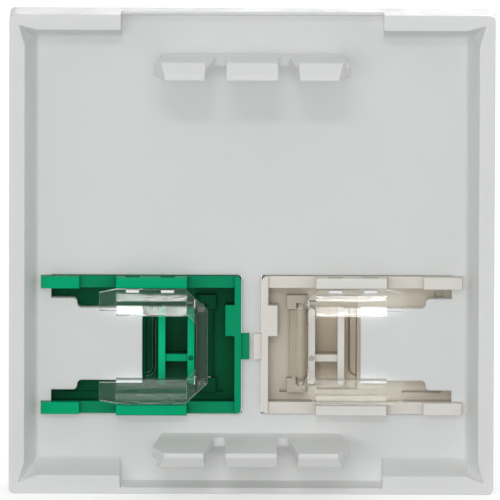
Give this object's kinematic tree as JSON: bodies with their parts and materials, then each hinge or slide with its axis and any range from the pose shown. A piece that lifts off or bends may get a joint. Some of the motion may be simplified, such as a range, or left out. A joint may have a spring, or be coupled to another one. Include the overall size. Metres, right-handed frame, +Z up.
{
  "type": "keystone faceplate",
  "caption": "Square white snap-in centre plate seen from behind, with a green and an ivory keystone port bay, clear retainers and hinged dust flaps.",
  "frame": {"origin": "middle of the lower edge, at half of the overall depth", "axes": "+X towards the green bay, +Y from the front face to the back, +Z up the plate"},
  "size_m": [0.063, 0.0176, 0.063],
  "materials": {
    "white_plastic": "fine satin moulded finish",
    "green_plastic": "semi-gloss moulded finish",
    "ivory_plastic": "semi-gloss moulded finish",
    "clear_plastic": "clear polished moulding"
  },
  "bodies": {
    "root": {"faceplate": "white_plastic", "green_carrier": "green_plastic", "green_retainer": "clear_plastic", "ivory_carrier": "ivory_plastic", "ivory_retainer": "clear_plastic"},
    "green_flap": {"green_dust_flap": "green_plastic"},
    "ivory_flap": {"ivory_dust_flap": "ivory_plastic"}
  },
  "joints": [
    {"name": "green_flap_hinge", "type": "hinge", "parent": "root", "child": "green_flap", "pos_m": [0.0064, -0.0079, 0.01887], "axis": [0, 0, -1], "range_deg": [0, 95]},
    {"name": "ivory_flap_hinge", "type": "hinge", "parent": "root", "child": "ivory_flap", "pos_m": [-0.0064, -0.0079, 0.01887], "axis": [0, 0, 1], "range_deg": [0, 95]}
  ]
}
